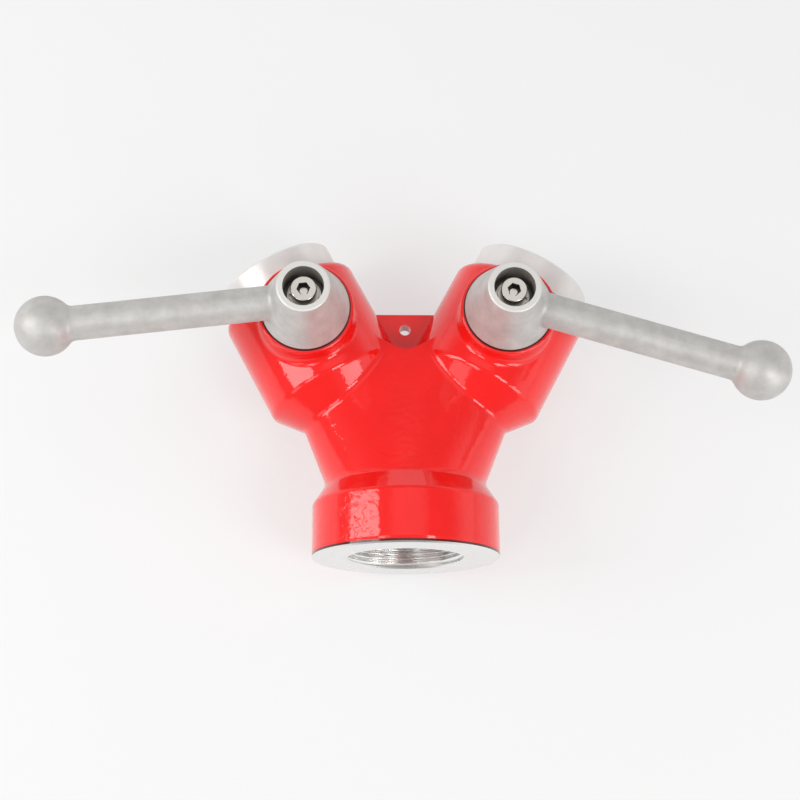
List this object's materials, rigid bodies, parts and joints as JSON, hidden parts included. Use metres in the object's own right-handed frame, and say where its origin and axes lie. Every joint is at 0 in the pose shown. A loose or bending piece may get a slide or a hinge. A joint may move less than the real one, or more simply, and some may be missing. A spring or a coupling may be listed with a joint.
{
  "type": "three-way water divider",
  "caption": "Red cast wye with a threaded inlet collar, ball-valve legs with bare outlet rings, and cone-hub lever handles with ball ends that turn a quarter turn.",
  "frame": {"origin": "centre of the inlet face, on the inlet thread's axis", "axes": "+Y from the inlet to the outlets, +Z along the valve stems towards the handles, +X to the right leg; it lies on its back"},
  "size_m": [0.3842, 0.1697, 0.127],
  "materials": {
    "red_paint": "gloss red paint over cast aluminium, with bare machined faces and threads",
    "machined_aluminium": "fine turned",
    "cast_aluminium": "tumbled matt casting",
    "stainless": "plain stainless",
    "ball_plating": "polished plating",
    "seat_polymer": "waxy white",
    "seal_rubber": "matt black"
  },
  "bodies": {
    "divider_body": {"body": "red_paint", "inlet_gasket": "seal_rubber", "left_outlet_adapter": "machined_aluminium", "left_adapter_seal": "seal_rubber", "left_inner_seat": "seat_polymer", "left_outer_seat": "seat_polymer", "left_outlet_gasket": "seal_rubber", "left_thrust_washer": "seat_polymer", "right_outlet_adapter": "machined_aluminium", "right_adapter_seal": "seal_rubber", "right_inner_seat": "seat_polymer", "right_outer_seat": "seat_polymer", "right_outlet_gasket": "seal_rubber", "right_thrust_washer": "seat_polymer"},
    "left_valve": {"left_ball": "ball_plating", "left_stem": "stainless", "left_stem_seals": "seal_rubber", "left_handle": "cast_aluminium", "left_stop_pin": "stainless", "left_flat_washer": "stainless", "left_spring_washer": "stainless", "left_handle_screw": "stainless"},
    "right_valve": {"right_ball": "ball_plating", "right_stem": "stainless", "right_stem_seals": "seal_rubber", "right_handle": "cast_aluminium", "right_stop_pin": "stainless", "right_flat_washer": "stainless", "right_spring_washer": "stainless", "right_handle_screw": "stainless"}
  },
  "joints": [
    {"name": "left_valve_turn", "type": "hinge", "parent": "divider_body", "child": "left_valve", "pos_m": [-0.05164, 0.12042, 0], "axis": [0, 0, 1], "range_deg": [-68.6, 21.4]},
    {"name": "right_valve_turn", "type": "hinge", "parent": "divider_body", "child": "right_valve", "pos_m": [0.05164, 0.12042, 0], "axis": [0, 0, 1], "range_deg": [-11.6, 78.4]}
  ]
}
